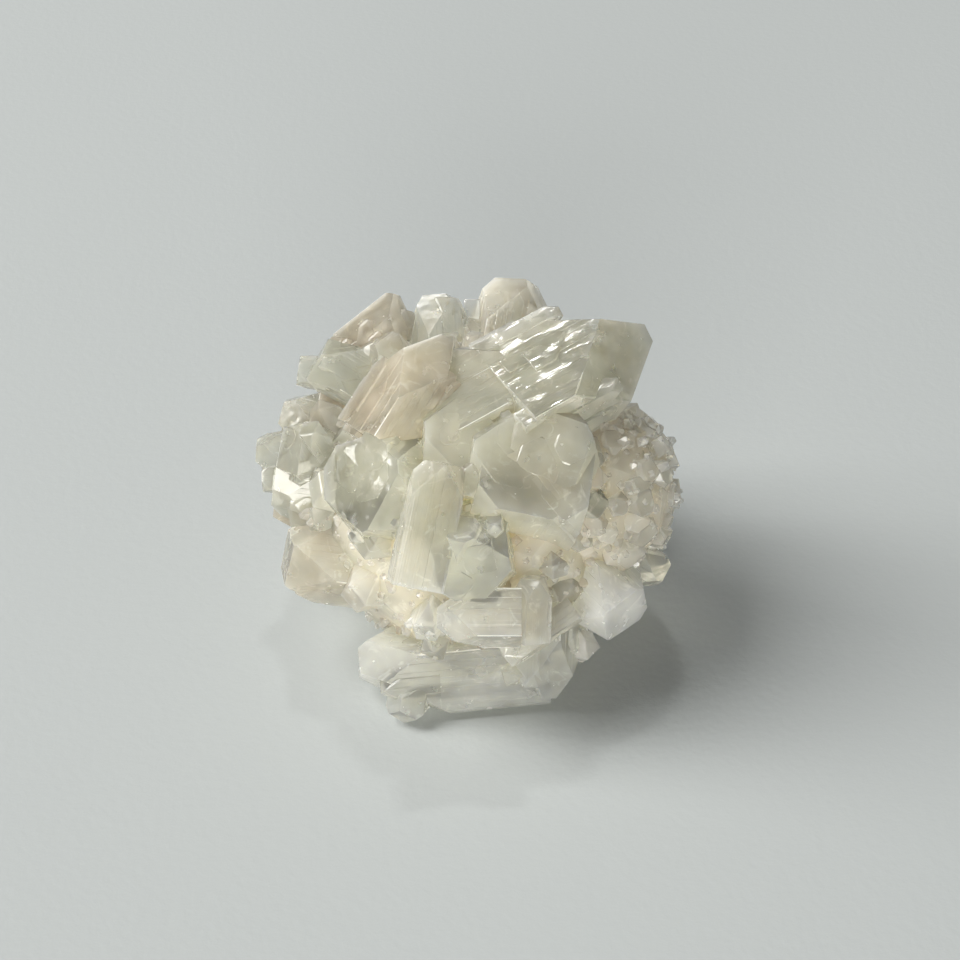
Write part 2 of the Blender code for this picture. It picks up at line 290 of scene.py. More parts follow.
class Lobe(Growth):
    """The small blunt crystals of the swelling on the right."""

    def bare(self, way: Vector) -> bool:
        """The swelling has crystals except where it meets the ball."""
        in_ball, behind = way.x < -0.25, way.z < -0.7
        return in_ball or behind


class Filling(Growth):
    """Small crystals in the gaps."""

    def bare(self, way: Vector) -> bool:
        """They stand everywhere but on the base and in the notch between the left arm and the foot.

        Args:
            way: the direction on the show face.

        Returns:
            Whether none stands there.
        """
        on_base = (SHOW.axes() @ way).z < -0.6
        in_notch = way.dot(Vector((-0.69, -0.72, 0.1))) > 0.92
        return on_base or in_notch


@dataclass(frozen=True)
class Lump:
    """A rough massive lump that crystals stand on.

    Attributes:
        centre: its middle, on the show face.
        radius: from there to its faces, at most.
        faces: how many it has.
        clarity: 0 for milky and 1 for water-clear.
        warmth: 0 for grey-green and 1 for peach.
        reach: the least and greatest share of the radius at which a face lies.
    """

    centre: Place
    radius: float
    faces: int
    clarity: float = 0.2
    warmth: float = 0.5
    reach: Pair = (0.92, 1.0)

    def planes(self, rng: random.Random) -> list[Plane]:
        """Its faces, some of them closer to the middle than others.

        Args:
            rng: draws how close.

        Returns:
            A point in each face's plane with its outward direction, in the world.
        """
        planes = []
        for way in spread(self.faces):
            normal = SHOW.axes() @ way
            away = normal * self.radius * rng.uniform(*self.reach) * MM
            planes.append((SHOW.place(self.centre) + away, normal))
        return planes


def spread(count: int) -> list[Vector]:
    """Directions spread evenly over the whole sphere.

    Args:
        count: how many.

    Returns:
        The directions, each of length 1.
    """
    golden = math.pi * (3.0 - math.sqrt(5.0))
    ways = []
    for index in range(count):
        height = 1.0 - 2.0 * (index + 0.5) / count
        ring = math.sqrt(1.0 - height * height)
        ways.append(Vector((ring * math.cos(golden * index), ring * math.sin(golden * index), height)))
    return ways


HEART = (0.0, 0.0, 0.0)
LOBE_CENTRE = (16.2, 1.6, 6.0)


@dataclass
class Spray:
    """How the nameless crystals have grown out of one seed.

    Attributes:
        seed: starts the one run of random draws that all of them share.
        unevenness: how unevenly their faces have grown, as a share of their size.
        sway: how far their long axes stray from pointing straight outwards.
        growths: the kinds of crystal.
    """

    seed: int = 11
    unevenness: float = 0.16
    sway: float = 0.2
    growths: tuple[Growth, ...] = (
        Back(58, HEART, (26.2, 29.6), (3.6, 6.2), 0.62, 22.0, (0.3, 0.65), (0.1, 0.8)),
        Lobe(146, LOBE_CENTRE, (13.0, 14.3), (1.1, 2.2), 0.8, 6.0, (0.2, 0.8), (0.6, 1.0)),
        Filling(90, HEART, (24.0, 26.5), (1.4, 2.8), 0.7, 10.0, (0.3, 0.8), (0.2, 0.9)),
    )

    def __post_init__(self) -> None:
        """Start the shared draws, and separate ones for clarity and warmth."""
        self.rng = random.Random(self.seed)
        self.tone_rng = random.Random(self.seed + 1)

    def uneven(self, size: float) -> Four:
        """Four distances near that size, as unevenly grown faces have."""
        return tuple(size * (1.0 + self.rng.uniform(-self.unevenness, self.unevenness)) for _ in range(4))

    def standing(self, growth: Growth, way: Vector) -> Crystal:
        """A nameless crystal that stands by itself.

        Args:
            growth: its kind.
            way: where it points on the show face, give or take.

        Returns:
            The crystal.
        """
        half = self.rng.uniform(*growth.half)
        reach = self.rng.uniform(*growth.reach)
        way = (way + Vector([self.rng.uniform(-self.sway, self.sway) for _ in range(3)])).normalized()
        tip = Vector(growth.centre) + way * reach
        lean = math.degrees(math.asin(max(-1.0, min(1.0, way.z))))
        bearing = math.degrees(math.atan2(way.y, way.x))
        roll = self.rng.uniform(0.0, 90.0)
        half_widths = self.uneven(half)
        caps = self.uneven(half * growth.cap_share)
        tones = self.tone_rng.uniform(*growth.clarity), self.tone_rng.uniform(*growth.warmth)
        return Crystal(tuple(tip), bearing, lean, roll, half_widths, caps, growth.length, *tones)

    def crystals(self) -> list[Crystal]:
        """Grow all of them.

        Returns:
            The crystals, kind after kind.
        """
        return [
            self.standing(growth, way)
            for growth in self.growths
            for way in spread(growth.count)
            if not growth.bare(way)
        ]


@dataclass
class ParallelGrowth:
    """Small individuals that stand a little proud of a crystal's faces, all turned as it is.

    Attributes:
        thinnest: crystals thinner than this have none, in millimetres.
        spread: how many stand on the sides to a millimetre of thickness.
        top_spread: how many stand on the basal face to a square millimetre.
        half: the least and greatest distance from their long axes to their faces.
        proud: how far they stand out from the face.
        back: how far their tips lie behind the rim of the crystal's own tip.
        length: the least and greatest length.
        side_cap: how blunt those on the sides are, as their cap's share of their thickness.
        top_cap: how blunt those on the basal face are, likewise.
        top_half: the least and greatest thickness of those, as a share of the basal face's.
        inset: the share of the crystal's own thickness or basal face that they keep to.
        unevenness: the least and greatest factors on their half widths, caps, clarity and warmth.
        rng: draws where they stand.
    """

    thinnest: float = 3.3
    spread: float = 0.5
    top_spread: float = 0.08
    half: Pair = (0.7, 2.3)
    proud: Pair = (0.08, 0.42)
    back: Pair = (-0.3, 7.0)
    length: Pair = (4.0, 11.0)
    side_cap: float = 0.62
    top_cap: float = 1.1
    top_half: Pair = (0.25, 0.6)
    inset: float = 0.6
    unevenness: tuple[Pair, ...] = ((0.85, 1.1), (0.75, 1.25), (0.8, 1.15), (0.7, 1.3))
    rng: random.Random = field(default_factory=lambda: random.Random(8))

    def on(self, crystal: Crystal) -> list[Crystal]:
        """Grow the individuals of one crystal.

        Args:
            crystal: the one that they stand on.

        Returns:
            The individuals, none of them where the crystal is thin.
        """
        half, cap = four(crystal.half), four(crystal.cap)
        if min(half) < self.thinnest:
            return []
        mean = sum(cap) / 4.0
        beside = round(sum(half) * self.spread * crystal.stepped)
        on_top = round(mean * mean * self.top_spread * crystal.stepped)
        made = [self.beside(crystal, half, mean) for _ in range(beside)]
        return made + [self.on_top(crystal, mean) for _ in range(on_top)]

    def beside(self, crystal: Crystal, half: Four, cap: float) -> Crystal:
        """Grow one somewhere on one of the four sides.

        Args:
            crystal: the one that it stands on.
            half: from that one's long axis to its prism faces.
            cap: the size of its cap.

        Returns:
            The individual.
        """
        draw = self.rng.uniform
        sides, along = crystal.habit()
        side = self.rng.randrange(4)
        left, right = (side - 1) % 4, (side + 1) % 4
        thick = min(draw(*self.half), min(half) * self.inset)
        away = half[side] + draw(*self.proud) - thick
        aside = draw(thick - half[left], half[right] - thick)
        rim = (max(abs(away), abs(aside)) - cap) / math.tan(math.radians(PYRAMID_SLOPE))
        place = Vector(crystal.tip) + sides[side] * away + sides[right] * aside
        down = along * (max(0.0, rim) + draw(*self.back))
        return self.individual(crystal, place - down, thick, self.side_cap)

    def on_top(self, crystal: Crystal, cap: float) -> Crystal:
        """Grow one somewhere on the basal face, standing half as proud as on a side.

        Args:
            crystal: the one that it stands on.
            cap: the size of that one's cap.

        Returns:
            The individual.
        """
        draw = self.rng.uniform
        sides, along = crystal.habit()
        thick = cap * draw(*self.top_half)
        place = Vector(crystal.tip) + sides[0] * draw(-cap, cap) * self.inset
        place = place + sides[1] * draw(-cap, cap) * self.inset
        return self.individual(crystal, place + along * draw(*self.proud) * 0.5, thick, self.top_cap)

    def individual(self, crystal: Crystal, tip: Vector, thick: float, cap_share: float) -> Crystal:
        """Grow one that is turned and coloured much as the crystal is.

        Args:
            crystal: the one that it stands on.
            tip: where its tip is on the show face.
            thick: from its long axis to its faces, give or take.
            cap_share: how blunt it is.

        Returns:
            The individual.
        """
        draw = self.rng.uniform
        halves, caps, clarity, warmth = self.unevenness
        return Crystal(
            tuple(tip),
            crystal.bearing,
            crystal.lean,
            crystal.roll,
            tuple(thick * draw(*halves) for _ in range(4)),
            tuple(thick * cap_share * draw(*caps) for _ in range(4)),
            draw(*self.length),
            crystal.clarity * draw(*clarity),
            crystal.warmth * draw(*warmth),
        )


@dataclass(frozen=True)
class Cut:
    """What the last stages of growth and wear have done to a crystal's faces, in millimetres and degrees.

    Attributes:
        slope: between a pyramid face and the long axis.
        stripe: the least and greatest width of a growth stripe along a prism face.
        stripe_depth: how deep the stripes are stepped.
        riser: how wide the slope between two stripes is.
        full_depth_from: sides narrower than this have shallower stripes.
        wear: how much of each edge is taken off by wear.
        stripes_from: how far from an edge the stripes begin, as a multiple of its wear.
        vicinal: how far the slightly tilted patches of a tip's faces are turned.
        patch_shift: how far they lie from the middle of the face, as a share of the thickness.
        patch_sink: how far they lie below the corner of a pyramid face.
        plain_below: crystals thinner than this have no stripes.
        patched_from: crystals thicker than this have patches.
        rim_from: crystals thicker than this have pale chipped edges, partly a painted highlight along the
            rims.
    """

    slope: float = PYRAMID_SLOPE
    stripe: Pair = (0.25, 0.95)
    stripe_depth: float = 0.11
    riser: float = 0.04
    full_depth_from: float = 7.0
    wear: float = 0.07
    stripes_from: float = 1.4
    vicinal: Pair = (1.5, 4.5)
    patch_shift: Pair = (0.1, 0.5)
    patch_sink: float = 1.2
    plain_below: float = 1.3
    patched_from: float = 2.6
    rim_from: float = 2.9


@dataclass
class CrystalMaker:
    """Cuts one crystal after another out of striped prisms.

    WORN is the mark that the faces along each edge's wear bear while the crystal is cut, and GRAIN is how far
    the grain's
    UV map runs to the millimetre.

    Attributes:
        cut: the fine shape of faces and edges.
        rng: draws the stripes and patches.
    """

    WORN = 1

    GRAIN = 0.01

    cut: Cut = field(default_factory=Cut)
    rng: random.Random = field(default_factory=lambda: random.Random(5))

    def stripes(self, length: float) -> list[Pair]:
        """Step one side of a prism.

        Args:
            length: the side's whole length.

        Returns:
            Pairs of the distance along the side and the depth there.
        """
        edge, riser = self.cut.wear * self.cut.stripes_from, self.cut.riser
        outline, at = [(edge, 0.0)], edge + self.rng.uniform(*self.cut.stripe) * 0.6
        depth, share = 0.0, min(1.0, length / self.cut.full_depth_from)
        while at < length - edge - riser * 3:
            width = self.rng.uniform(*self.cut.stripe)
            deeper = self.rng.uniform(0.0, self.cut.stripe_depth) * share
            outline += [(at, depth), (at + riser, deeper)]
            depth, at = deeper, at + riser + width
        outline.append((length - edge, 0.0))
        return outline

    def outline(self, crystal: Crystal) -> list[Pair]:
        """Draw the prism's cross-section.

        Args:
            crystal: the crystal.

        Returns:
            Points about its long axis, anticlockwise, in millimetres.
        """
        half = four(crystal.half)
        plain = min(half) < self.cut.plain_below
        points = []
        for side in range(4):
            start, end, away = half[side - 1], half[(side + 1) % 4], half[side]
            length = start + end
            steps = [(self.cut.wear, 0.0), (length - self.cut.wear, 0.0)] if plain else self.stripes(length)
            turn = side * math.pi / 2
            cos, sin = math.cos(turn), math.sin(turn)
            for along, depth in steps:
                x, y = away - depth, along - start
                points.append((x * cos - y * sin, x * sin + y * cos))
        return points

    def prism(self, crystal: Crystal) -> bmesh.types.BMesh:
        """Raise the striped prism, from its root to beyond where the pyramid faces meet.

        Args:
            crystal: the crystal.

        Returns:
            Its closed mesh, without a tip yet.
        """
        outline = self.outline(crystal)
        sides, along = crystal.sides()
        tip = SHOW.place(crystal.tip)
        beyond = (max(four(crystal.cap)) * 2.0 + 1.0) * MM
        shape = bmesh.new()
        rings = []
        for level in (tip - along * crystal.length * MM, tip + along * beyond):
            corners = [level + (sides[0] * x + sides[1] * y) * MM for x, y in outline]
            rings.append([shape.verts.new(corner) for corner in corners])
        low, high = rings
        count = len(low)
        for index in range(count):
            after = (index + 1) % count
            shape.faces.new((low[index], low[after], high[after], high[index]))
        shape.faces.new(list(reversed(low)))
        shape.faces.new(high)
        return shape

    def tip_faces(self, crystal: Crystal) -> list[Plane]:
        """Find the faces of a tip.

        Args:
            crystal: the crystal.

        Returns:
            The four pyramid faces, then the basal face.
        """
        sides, along = crystal.sides()
        cap, tip, slope = four(crystal.cap), SHOW.place(crystal.tip), math.radians(self.cut.slope)
        corners = [(sides[i] + sides[(i + 1) % 4]).normalized() for i in range(4)]
        points = [tip + corners[i] * cap[i] * MM for i in range(4)]
        normals = [corner * math.cos(slope) + along * math.sin(slope) for corner in corners]
        return [*zip(points, normals), (tip, along)]

    def worn_edges(self, crystal: Crystal, faces: list[Plane]) -> list[Plane]:
        """Find the wear along every edge of a tip.

        Args:
            crystal: the crystal.
            faces: its pyramid faces and its basal face.

        Returns:
            One plane for each edge, a little inside it.
        """
        sides, along = crystal.sides()
        half, cap = four(crystal.half), four(crystal.cap)
        tip, slope, wear = SHOW.place(crystal.tip), math.radians(self.cut.slope), self.cut.wear * MM
        wear_and_rim_highlight = []
        for i in range(4):
            after = (i + 1) % 4
            point, normal = faces[i]
            next_corner = (sides[after] + sides[(after + 1) % 4]).normalized()
            corner = (sides[i] + sides[after]).normalized()
            wear_and_rim_highlight.append((point, normal + along))
            wear_and_rim_highlight.append((tip + (corner * cap[i] + next_corner * cap[after]) * MM, normal + faces[after][1]))
            for this, other in ((i, after), (after, i)):
                reach = half[other] * 0.5
                down = (cap[i] - (half[this] + reach) / math.sqrt(2.0)) / math.tan(slope)
                point = tip + (sides[this] * half[this] + sides[other] * reach + along * down) * MM
                wear_and_rim_highlight.append((point, sides[this] + normal))
        return [(point - edge.normalized() * wear, edge.normalized()) for point, edge in wear_and_rim_highlight]

    def patches(self, crystal: Crystal, faces: list[Plane]) -> list[Plane]:
        """Draw the slightly tilted patches of a tip.

        Args:
            crystal: the crystal.
            faces: its pyramid faces and its basal face.

        Returns:
            One plane for each of those faces, or none where the crystal is thin.
        """
        thickness, basal = min(four(crystal.half)), faces[-1][1]
        if thickness <= self.cut.patched_from:
            return []
        sides, along = crystal.sides()
        patches = []
        for point, normal in faces:
            tangent = normal.cross(sides[0] + sides[1] * 0.37).normalized()
            tangent = Matrix.Rotation(self.rng.uniform(0.0, math.tau), 3, normal) @ tangent
            angle = math.radians(self.rng.uniform(*self.cut.vicinal))
            shift = self.rng.uniform(*self.cut.patch_shift) * thickness * MM
            tilted = Matrix.Rotation(angle, 3, normal.cross(tangent)) @ normal
            sunk = point - along * self.cut.patch_sink * MM * (normal is not basal)
            patches.append((sunk + tangent * shift, tilted))
        return patches

    def grain(self, shape: bmesh.types.BMesh, crystal: Crystal, sown: float = 0.0) -> None:
        """Give each face its stripe direction as a UV map, and its crystal's own growth as a colour.

        The colour's channels hold the clarity, the warmth, how striped the face is, and how thickly tiny
        crystals stand on it. Edges taken off by wear have a clarity below 0 on thick crystals, which gives
        them a pale chipped colour that is partly a painted highlight along the rims.

        Args:
            shape: the crystal's mesh.
            crystal: the crystal.
            sown: how thickly tiny crystals stand on it, up to 1.
        """
        sides, along = crystal.sides()
        uv, growth = grain_layers(shape)
        own, rimmed = self.rng.random(), min(four(crystal.half)) > self.cut.rim_from
        for face in shape.faces:
            normal = face.normal
            across = along.cross(normal)
            across = across.normalized() if across.length > 0.2 else sides[0]
            up = normal.cross(across).normalized()
            on_prism = abs(normal.dot(along)) < 0.2
            squareness = max(abs(normal.dot(side)) for side in sides[:2])
            corner = on_prism and abs(squareness - math.sqrt(0.5)) < 0.01
            wear_and_rim_highlight = corner or face.material_index == self.WORN
            clarity = -1.0 if wear_and_rim_highlight and rimmed else crystal.clarity
            striped = 1.0 if on_prism else 0.12
            for loop in face.loops:
                place = loop.vert.co
                right, height = place.dot(across) / MM * self.GRAIN, place.dot(up) / MM * self.GRAIN
                loop[uv].uv = (right + own * 3.0, height + own * 7.0)
                loop[growth] = (clarity, crystal.warmth, striped, sown)

    def make(self, crystal: Crystal, sown: float = 0.0) -> bmesh.types.BMesh:
        """Make the whole crystal.

        Args:
            crystal: its place and shape.
            sown: how thickly tiny crystals stand on it, up to 1.

        Returns:
            Its closed mesh, dressed with its grain.
        """
        shape = self.prism(crystal)
        faces = self.tip_faces(crystal)
        for point, normal in faces + self.patches(crystal, faces):
            trim(shape, point, normal)
        for point, normal in self.worn_edges(crystal, faces):
            trim(shape, point, normal, self.WORN)
        bmesh.ops.recalc_face_normals(shape, faces=shape.faces[:])
        self.grain(shape, crystal, sown)
        return shape


def grain_layers(shape: bmesh.types.BMesh) -> tuple[bmesh.types.BMLayerItem, bmesh.types.BMLayerItem]:
    """A shape's new layers for the UV map and the colours that the crystal finish reads."""
    return shape.loops.layers.uv.new("grain"), shape.loops.layers.float_color.new("growth")


def trim(shape: bmesh.types.BMesh, point: Vector, normal: Vector, mark: int = 0) -> None:
    """Cut away what lies outside a plane, and close the cut with a face.

    Args:
        shape: the closed mesh.
        point: a point in the plane.
        normal: its outward direction.
        mark: the material index that the new face bears.
    """
    everything = shape.verts[:] + shape.edges[:] + shape.faces[:]
    cut = bmesh.ops.bisect_plane(
        shape, geom=everything, plane_co=point, plane_no=normal, clear_outer=True, dist=1e-8
    )
    rim = [edge for edge in cut["geom_cut"] if isinstance(edge, bmesh.types.BMEdge)]
    if rim:
        for face in bmesh.ops.contextual_create(shape, geom=rim)["faces"]:
            face.material_index = mark


def closed(shape: bmesh.types.BMesh) -> bool:
    """Whether every edge has exactly two faces."""
    return all(len(edge.link_faces) == 2 for edge in shape.edges)


def new_object(name: str, shape: bmesh.types.BMesh, collection: bpy.types.Collection) -> bpy.types.Object:
    """Turn a shape into an object, and free it.

    Args:
        name: what to call it.
        shape: its mesh.
        collection: where it goes.

    Returns:
        The object.
    """
    mesh = bpy.data.meshes.new(name)
    shape.to_mesh(mesh)
    shape.free()
    return placed(name, mesh, collection)


def placed(name: str, data: bpy.types.ID, collection: bpy.types.Collection) -> bpy.types.Object:
    """Put new data in the scene.

    Args:
        name: what to call its object.
        data: a mesh, a light or a camera.
        collection: where it goes.

    Returns:
        The object.
    """
    made = bpy.data.objects.new(name, data)
    collection.objects.link(made)
    return made


def in_view() -> bpy.types.Collection:
    """The collection of everything that is seen."""
    return bpy.context.scene.collection


def baked(piece: bpy.types.Object) -> bpy.types.Mesh:
    """Apply a piece's modifiers, and leave it without them.

    Args:
        piece: the piece.

    Returns:
        The mesh that they make of it.
    """
    graph = bpy.context.evaluated_depsgraph_get()
    mesh = bpy.data.meshes.new_from_object(piece.evaluated_get(graph))
    piece.modifiers.clear()
    return mesh


# ---------------------------------------------------------------- shader expressions


class Value:
    """A shader socket in a Python expression: each operator adds its Math node."""

    def __init__(self, nodes: "Nodes", socket: bpy.types.NodeSocket) -> None:
        """Wrap a socket of one of the nodes."""
        self.nodes, self.socket = nodes, socket

    def math(
        self, operation: str, *others: "Value | float", clamp: bool = False, flip: bool = False
    ) -> "Value":
        """Add one Math node.

        Args:
            operation: what it works out.
            others: its further terms.
            clamp: whether its result is kept between 0 and 1.
            flip: whether its terms go the other way round.

        Returns:
            Its result.
        """
        terms = [self, *others]
        if flip:
            terms.reverse()
        settings = {"operation": operation, "use_clamp": clamp}
        return self.nodes.add("ShaderNodeMath", settings, dict(enumerate(terms)))

    def __add__(self, other: "Value | float") -> "Value":
        """Sum."""
        return self.math("ADD", other)

    __radd__ = __add__

    def __sub__(self, other: "Value | float") -> "Value":
        """Difference."""
        return self.math("SUBTRACT", other)

    def __rsub__(self, other: "Value | float") -> "Value":
        """Difference from a number."""
        return self.math("SUBTRACT", other, flip=True)

    def __mul__(self, other: "Value | float") -> "Value":
        """Product."""
        return self.math("MULTIPLY", other)

    __rmul__ = __mul__

    def sibling(self, name: str) -> "Value":
        """Another output of the same node."""
        return Value(self.nodes, self.socket.node.outputs[name])

    def clamped(self) -> "Value":
        """The value kept between 0 and 1."""
        return self.math("ADD", 0.0, clamp=True)

    def ramp(self, low: float, high: float) -> "Value":
        """Turn the value into a mask.

        Args:
            low: where the mask is 0.
            high: where it is 1.

        Returns:
            The mask, smooth between them and level beyond.
        """
        sockets = {"Value": self, "From Min": low, "From Max": high}
        return self.nodes.add("ShaderNodeMapRange", {"interpolation_type": "SMOOTHSTEP"}, sockets)


class Nodes:
    """A node tree, added to by node type, settings and socket values."""

    def __init__(self, tree: bpy.types.NodeTree, material: bpy.types.Material | None = None) -> None:
        """Start with a tree, and with the material that it belongs to if it is a material's."""
        self.tree, self.material = tree, material

    def group_input(self, name: str) -> Value:
        """One of the tree's own inputs."""
        node = self.tree.nodes.new("NodeGroupInput")
        return Value(self, node.outputs[name])

    def add(
        self, kind: str, settings: dict | None = None, sockets: dict | None = None, output: int | str = 0
    ) -> Value:
        """Add one node.

        Args:
            kind: the node's type.
            settings: its own properties, set before its sockets.
            sockets: what each input, by name or number, gets: a Value to link or a constant.
            output: which output the result stands for.

        Returns:
            That output.
        """
        node = self.tree.nodes.new(kind)
        for name, value in (settings or {}).items():
            setattr(node, name, value)
        for name, value in (sockets or {}).items():
            if isinstance(value, Value):
                self.tree.links.new(value.socket, node.inputs[name])
            else:
                node.inputs[name].default_value = value
        return Value(self, node.outputs[output])

    def mix(self, share: Value | float, low: "Value | tuple", high: "Value | tuple") -> Value:
        """Blend two colours.

        Args:
            share: how much of the second there is.
            low: the first colour.
            high: the second.

        Returns:
            The blend.
        """
        settings = {"data_type": "RGBA", "clamp_factor": True}
        return self.add("ShaderNodeMix", settings, {0: share, 6: low, 7: high}, output=2)

    def noise(
        self, place: Value, scale: float, detail: float = 3.0, rough: float = 0.55, warp: float = 0.0
    ) -> Value:
        """Add a Noise texture.

        Args:
            place: where it is read.
            scale: how fine it is.
            detail: how many finer layers it has.
            rough: how strong those are.
            warp: how much it is distorted.

        Returns:
            Its strength.
        """
        sockets = {"Vector": place, "Scale": scale, "Detail": detail, "Roughness": rough, "Distortion": warp}
        return self.add("ShaderNodeTexNoise", {}, sockets)

    def channel(self, colour: Value, index: int) -> Value:
        """One of a colour's channels."""
        return self.add("ShaderNodeSeparateColor", {}, {"Color": colour}, output=index)

    @classmethod
    def of_material(cls, name: str) -> "Nodes":
        """Start a material.

        Args:
            name: what to call it.

        Returns:
            Its empty tree.
        """
        material = bpy.data.materials.new(name)
        material.use_nodes = True
        material.node_tree.nodes.clear()
        return cls(material.node_tree, material)

    def output(self, surface: Value, volume: Value | None = None) -> bpy.types.Material:
        """Finish the material.

        Args:
            surface: its surface shader.
            volume: its volume shader, if it has one.

        Returns:
            The material.
        """
        sockets = {"Surface": surface} | ({"Volume": volume} if volume else {})
        node = self.tree.nodes.new("ShaderNodeOutputMaterial")
        for name, value in sockets.items():
            self.tree.links.new(value.socket, node.inputs[name])
        return self.material


# ---------------------------------------------------------------- finishes


class Tint(Enum):
    """Colours of the specimen, as linear red, green, blue and opacity."""

    SAGE = (0.74, 0.735, 0.60, 1.0)
    PEACH = (0.84, 0.745, 0.60, 1.0)
    # The two dark tones below are partly the crystals' own and partly painted shade for the top and the left.
    SMOKE = (0.33, 0.33, 0.265, 1.0)
    TAUPE_AND_SHADE = (0.31, 0.265, 0.195, 1.0)
    # Pale veils, and the white that is partly painted light on crystals lying in shade.
    CLOUD_AND_PAINTED_LIGHT = (0.88, 0.86, 0.76, 1.0)
    GLOW = (0.92, 0.92, 0.87, 1.0)
    # Pale chipped edges, partly a painted highlight along the rims.
    CHIPPED_AND_RIM_HIGHLIGHT = (0.97, 0.96, 0.90, 1.0)
    GLASS = (1.0, 1.0, 1.0, 1.0)
    ABSORB = (0.86, 0.83, 0.68, 1.0)
    PAPER = (0.445, 0.472, 0.475, 1.0)


@dataclass(frozen=True)
class CrystalFinish:
    """Vitreous apophyllite: clear at the tips, milky towards the heart, finely striped along each crystal.

    Attributes:
        index: refractive index.
        density: strength of the body colour's absorption, per metre.
        polish: roughness of a fresh face.
        etched: roughness added where a face is etched.
        stripe_height: depth of the finest stripes, in metres.
        depth: how far light wanders in the milky parts, in metres.
        tips: the distances from the heart between which the crystals clear, in metres.
        top: the heights between which they darken towards dark grey-brown, partly their own tone and partly
            painted shade, in metres.
        left: the distances to the left between which they darken likewise, as painted shade where the light
            falls strongest, in metres.
        streak: how many fine streaks there are across and along the grain, to each of its units.
        groove: the same for coarse ones.
        comb: how many fine ridges there are across the grain, likewise.
    """

    index: float = 1.535
    density: float = 30.0
    polish: float = 0.08
    etched: float = 0.22
    stripe_height: float = 0.00017
    depth: float = 0.018
    tips: Pair = (0.021, 0.031)
    top: Pair = (0.024, 0.048)
    left: Pair = (0.006, 0.028)
    streak: Pair = (190.0, 52.0)
    groove: Pair = (90.0, 20.0)
    comb: float = 290.0

    def make(self, name: str) -> bpy.types.Material:
        """Mix the clear and the milky shares over each face.

        Args:
            name: what to call the material.

        Returns:
            The finished material.
        """
        nodes = Nodes.of_material(name)
        place = nodes.add("ShaderNodeTexCoord", {}, {}, output="Object")
        grain = nodes.add("ShaderNodeUVMap", {"uv_map": "grain"})
        growth = nodes.add("ShaderNodeAttribute", {"attribute_name": "growth"}, {}, output="Color")
        clarity, warmth, striped = (nodes.channel(growth, index) for index in range(3))

        # Pale chipped edges on large crystals, broken up by noise: partly their own chipping and partly a
        # painted highlight along the rims; they are also rougher.
        wear_and_rim_highlight = (clarity * -1.0).clamped() * nodes.noise(place, 260.0, 1.0).ramp(0.40, 0.58) * 0.6
        wisps = nodes.noise(place, 300.0, 3.0, 0.62, 1.5).ramp(0.56, 0.74)
        streaks = nodes.noise(self.drawn_out(nodes, grain, self.streak), 1.0, 1.0, 0.6)
        etching = nodes.noise(place, 420.0, 2.0, 0.6).ramp(0.56, 0.72)
        shared = {
            "Roughness": etching * self.etched + streaks * 0.05 + self.polish + wear_and_rim_highlight * 0.2,
            "IOR": self.index,
            "Normal": self.relief(nodes, place, grain, streaks, striped),
        }
        glass = {"Base Color": Tint.GLASS.value, "Transmission Weight": 1.0}
        milk = {
            "Base Color": self.body(nodes, place, warmth, wisps, wear_and_rim_highlight),
            "Subsurface Weight": 1.0,
            "Subsurface Radius": (1.0, 0.95, 0.8),
            "Subsurface Scale": self.depth,
        }
        clear = nodes.add("ShaderNodeBsdfPrincipled", {"distribution": "GGX"}, glass | shared)
        cloudy = nodes.add("ShaderNodeBsdfPrincipled", {}, milk | shared)
        glow = nodes.add("ShaderNodeBsdfTranslucent", {}, {"Color": Tint.GLOW.value})
        inside = nodes.add("ShaderNodeNewGeometry", {}, {}, output="Backfacing")
        cloudy = nodes.add("ShaderNodeMixShader", {}, {0: inside, 1: cloudy, 2: glow})
        milky = self.milkiness(nodes, place, clarity, wisps)
        surface = nodes.add("ShaderNodeMixShader", {}, {0: milky, 1: clear, 2: cloudy})
        absorption = {"Color": Tint.ABSORB.value, "Density": self.density}
        return nodes.output(surface, nodes.add("ShaderNodeVolumeAbsorption", {}, absorption))

    @staticmethod
    def drawn_out(nodes: Nodes, grain: Value, count: Pair) -> Value:
        """The grain's coordinates, with that many units across and along it to each one."""
        return nodes.add("ShaderNodeMapping", {}, {"Vector": grain, "Scale": (*count, 1.0)})

    def milkiness(self, nodes: Nodes, place: Value, clarity: Value, wisps: Value) -> Value:
        """Work out where the crystals are milky.

        Args:
            nodes: the material's tree.
            place: the place in the object.
            clarity: the crystal's own clarity.
            wisps: thin veils inside it.

        Returns:
            The milky share, from 0 to 1.
        """
        from_heart = nodes.add(
            "ShaderNodeVectorMath", {"operation": "DISTANCE"}, {0: place, 1: SHOW.place(HEART)}, output=1
        )
        swirl = nodes.noise(place, 130.0, 2.0, 0.55)
        milky = 1.02 - clarity * 0.80 + (swirl - 0.5) * (1.1 - clarity * 0.8)
        return (milky - from_heart.ramp(*self.tips) * 0.15 + wisps * 0.18).clamped()

    def body(self, nodes: Nodes, place: Value, warmth: Value, wisps: Value, wear_and_rim_highlight: Value) -> Value:
        """Colour the milky share: sage to peach, darker at the top and on the left, partly in a tone of its
        own and partly as painted shade, white where the warmth is below 0, partly as painted light, and pale
        along chipped edges, partly as a painted highlight.

        Args:
            nodes: the material's tree.
            place: the place in the object.
            warmth: the crystal's own warmth.
            wisps: thin veils inside it.
            wear_and_rim_highlight: where its edges are chipped and pale, partly a painted highlight along the
                rims.

        Returns:
            The colour.
        """
        warm = (warmth * 0.9 + (nodes.noise(place, 70.0, 1.0) - 0.5) * 1.2 + 0.05).clamped()
        across = nodes.add("ShaderNodeSeparateXYZ", {}, {0: place})
